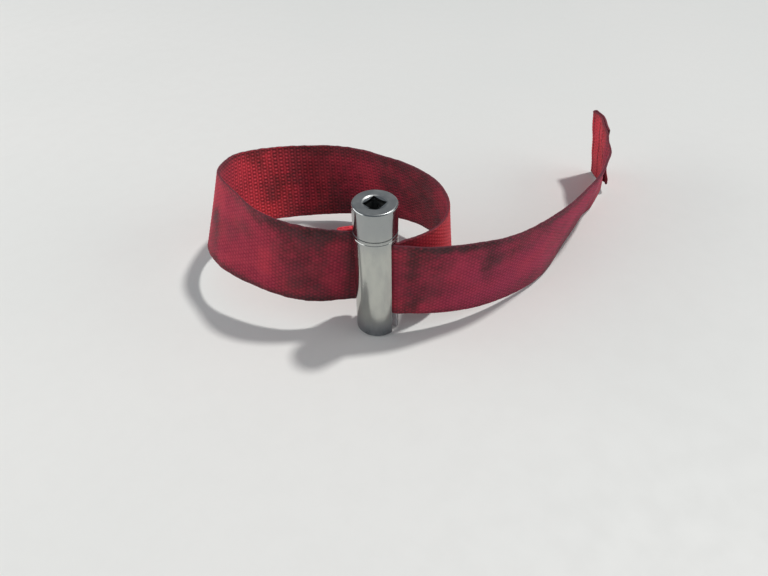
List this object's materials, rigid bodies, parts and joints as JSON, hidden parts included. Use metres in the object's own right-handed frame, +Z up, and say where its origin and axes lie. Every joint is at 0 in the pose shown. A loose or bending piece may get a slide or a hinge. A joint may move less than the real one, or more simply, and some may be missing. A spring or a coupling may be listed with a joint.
{
  "type": "oil filter wrench",
  "caption": "Strap-type oil filter wrench: slotted round steel body with a square drive, and a wide woven strap forming an adjustable loop and tail.",
  "frame": {"origin": "on the axis of the steel body, in the plane of the open foot that it stands on", "axes": "+Z up along the body's axis, out of the square drive; +X along the slot, towards the mouth that the free tail leaves; +Y towards the side where the strap's rear layer lies"},
  "size_m": [0.2163, 0.2709, 0.0896],
  "materials": {
    "chrome": "worn chrome plate",
    "webbing": "woven, soiled",
    "thread": "sewing thread"
  },
  "bodies": {
    "wrench_body": {"socket_body": "chrome", "strap_anchor_fold": "webbing", "anchor_stitching": "thread", "strap_rear_run": "webbing", "strap_front_run": "webbing", "strap_loop_start": "webbing", "strap_loop_end": "webbing", "strap_tail_root": "webbing"},
    "strap_loop": {"strap_loop_right": "webbing", "strap_loop_back_right": "webbing", "strap_loop_back": "webbing", "strap_loop_back_left": "webbing", "strap_loop_left": "webbing", "strap_loop_front": "webbing"},
    "tail_base": {"strap_tail_near": "webbing"},
    "strap_tail": {"strap_tail_mid": "webbing", "strap_tail_far": "webbing", "strap_tail_bend": "webbing", "strap_hem": "webbing", "hem_stitching": "thread"}
  },
  "joints": [
    {"name": "tail_swing", "type": "hinge", "parent": "wrench_body", "child": "tail_base", "pos_m": [0.0133, -0.0005, 0.0407], "axis": [0, 0, 1], "range_deg": [-40, 5], "deforming": ["strap_tail_root"]},
    {"name": "tail_pull", "type": "slide", "parent": "tail_base", "child": "strap_tail", "axis": [0.4179, 0.9085, 0], "range_m": [0, 0.01], "deforming": ["strap_tail_near"]},
    {"name": "loop_cinch", "type": "slide", "parent": "wrench_body", "child": "strap_loop", "axis": [0.8412, -0.5408, 0], "range_m": [0, 0.014], "deforming": ["strap_loop_start", "strap_loop_end"]}
  ],
  "couplings": [
    {"joint": "loop_cinch", "follows": "tail_pull", "ratio": 1.4}
  ]
}
